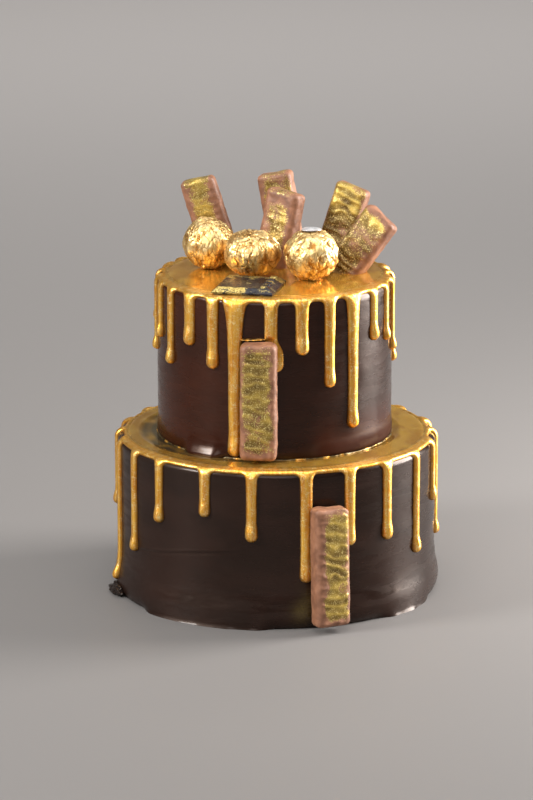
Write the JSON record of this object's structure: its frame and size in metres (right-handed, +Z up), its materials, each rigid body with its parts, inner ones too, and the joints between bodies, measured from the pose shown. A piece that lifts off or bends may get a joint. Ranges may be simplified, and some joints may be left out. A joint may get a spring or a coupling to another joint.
{
  "type": "tiered drip cake",
  "caption": "Two-tier round cake with dark chocolate icing, poured gold drips, chocolate bars, gold foil balls and a chocolate square.",
  "frame": {"origin": "centre of the lower tier's base, on the surface that the cake stands on", "axes": "+Z up along the cake's height; -Y is the front with the two bars on the walls; +X to the right seen from the front"},
  "size_m": [0.2121, 0.2205, 0.2607],
  "materials": {
    "dark_icing": "smooth dark chocolate coat with a soft sheen",
    "gold_icing": "poured gold with fine pearl grain",
    "bar_chocolate": "matte milk chocolate with gold dust",
    "gold_foil": "crinkled bright gold foil",
    "sticker_paper": "plain pale paper",
    "square_chocolate": "dark chocolate with gold dust on its edges"
  },
  "bodies": {
    "root": {"lower_tier": "dark_icing", "upper_tier": "dark_icing", "lower_gold_drip": "gold_icing", "upper_gold_drip": "gold_icing", "bar_top_left": "bar_chocolate", "bar_top_back": "bar_chocolate", "bar_top_centre": "bar_chocolate", "bar_top_right_back": "bar_chocolate", "bar_top_right_front": "bar_chocolate", "bar_on_upper_tier": "bar_chocolate", "bar_on_lower_tier": "bar_chocolate", "foil_ball_left": "gold_foil", "foil_ball_centre": "gold_foil", "foil_ball_right": "gold_foil", "ball_sticker": "sticker_paper", "chocolate_square": "square_chocolate"}
  },
  "joints": []
}
